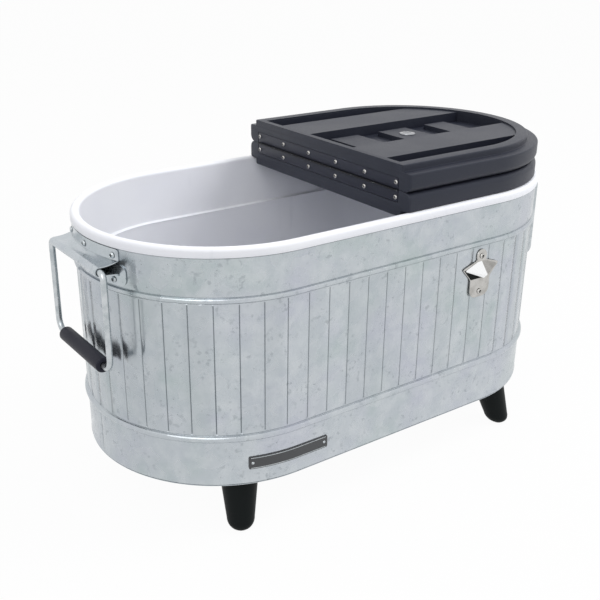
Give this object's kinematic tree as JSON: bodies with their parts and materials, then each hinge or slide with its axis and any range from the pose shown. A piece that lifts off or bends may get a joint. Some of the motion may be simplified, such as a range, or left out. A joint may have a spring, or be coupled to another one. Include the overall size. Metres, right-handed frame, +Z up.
{
  "type": "oval patio cooler",
  "caption": "Oval insulated party cooler: ribbed galvanised tub on feet, white liner, folding two-part lid, end bail handles and a wall-mounted bottle opener.",
  "frame": {"origin": "on the floor, under the centre of the overall box; the tub's own middle lies 9 mm behind it in +Y, because the opener stands out at the front", "axes": "+Z up, X along the tub, -Y towards the side that carries the bottle opener"},
  "size_m": [0.784, 0.4098, 0.4637],
  "materials": {
    "galvanised": "hot-dip galvanised sheet with a fine mottled spangle",
    "zinc_wire": "smooth zinc-plated wire and rivets",
    "stainless": "satin stainless",
    "white_plastic": "satin moulded white plastic",
    "black_plastic": "fine-grained black moulded plastic",
    "foot_plastic": "smooth black plastic",
    "grip_plastic": "smooth black plastic",
    "foam": "rigid foam, hidden"
  },
  "bodies": {
    "tub": {"tub_shell": "galvanised", "bottom_pan": "galvanised", "liner": "white_plastic", "insulation": "foam", "foot_front_left": "foot_plastic", "foot_front_right": "foot_plastic", "foot_rear_left": "foot_plastic", "foot_rear_right": "foot_plastic", "foot_bolt_front_left": "zinc_wire", "foot_bolt_front_right": "zinc_wire", "foot_bolt_rear_left": "zinc_wire", "foot_bolt_rear_right": "zinc_wire", "drain_spout": "white_plastic", "drain_nut": "black_plastic", "handle_bracket_left": "galvanised", "handle_bracket_right": "galvanised", "rivet_left_upper_front": "zinc_wire", "rivet_left_upper_middle": "zinc_wire", "rivet_left_upper_rear": "zinc_wire", "rivet_left_lower_front": "zinc_wire", "rivet_left_lower_middle": "zinc_wire", "rivet_left_lower_rear": "zinc_wire", "rivet_right_upper_front": "zinc_wire", "rivet_right_upper_middle": "zinc_wire", "rivet_right_upper_rear": "zinc_wire", "rivet_right_lower_front": "zinc_wire", "rivet_right_lower_middle": "zinc_wire", "rivet_right_lower_rear": "zinc_wire", "bottle_opener": "stainless", "opener_screw_upper": "stainless", "opener_screw_lower": "stainless"},
    "lid_base": {"lid_base_half": "black_plastic", "hinge_leaf_base": "black_plastic", "hinge_pin": "zinc_wire", "fill_plug_base": "stainless", "hinge_screw_base_1": "stainless", "hinge_screw_base_2": "stainless", "hinge_screw_base_3": "stainless", "hinge_screw_base_4": "stainless", "hinge_screw_base_5": "stainless", "hinge_screw_base_6": "stainless"},
    "lid_fold": {"lid_folding_half": "black_plastic", "hinge_leaf_folding": "black_plastic", "fill_plug_folding": "stainless", "hinge_screw_folding_1": "stainless", "hinge_screw_folding_2": "stainless", "hinge_screw_folding_3": "stainless", "hinge_screw_folding_4": "stainless", "hinge_screw_folding_5": "stainless", "hinge_screw_folding_6": "stainless"},
    "left_bail": {"bail_left": "zinc_wire"},
    "right_bail": {"bail_right": "zinc_wire"},
    "left_grip": {"grip_left": "grip_plastic"},
    "right_grip": {"grip_right": "grip_plastic"},
    "cap": {"drain_cap": "black_plastic"}
  },
  "joints": [
    {"name": "lid_lift", "type": "slide", "parent": "tub", "child": "lid_base", "axis": [0, 0, 1], "range_m": [0, 0.15]},
    {"name": "lid_fold_hinge", "type": "hinge", "parent": "lid_base", "child": "lid_fold", "pos_m": [0, 0.009, 0.4285], "axis": [0, -1, 0], "range_deg": [0, 180]},
    {"name": "left_bail_swing", "type": "hinge", "parent": "tub", "child": "left_bail", "pos_m": [-0.382, 0.009, 0.3655], "axis": [0, 1, 0], "range_deg": [-1.5, 180]},
    {"name": "right_bail_swing", "type": "hinge", "parent": "tub", "child": "right_bail", "pos_m": [0.382, 0.009, 0.3655], "axis": [0, -1, 0], "range_deg": [-1.5, 180]},
    {"name": "left_grip_turn", "type": "hinge", "parent": "left_bail", "child": "left_grip", "pos_m": [-0.382, 0.009, 0.237], "axis": [0, 1, 0], "continuous": true},
    {"name": "right_grip_turn", "type": "hinge", "parent": "right_bail", "child": "right_grip", "pos_m": [0.382, 0.009, 0.237], "axis": [0, 1, 0], "continuous": true},
    {"name": "cap_release", "type": "slide", "parent": "tub", "child": "cap", "axis": [0, 0, -1], "range_m": [0, 0.03]}
  ]
}
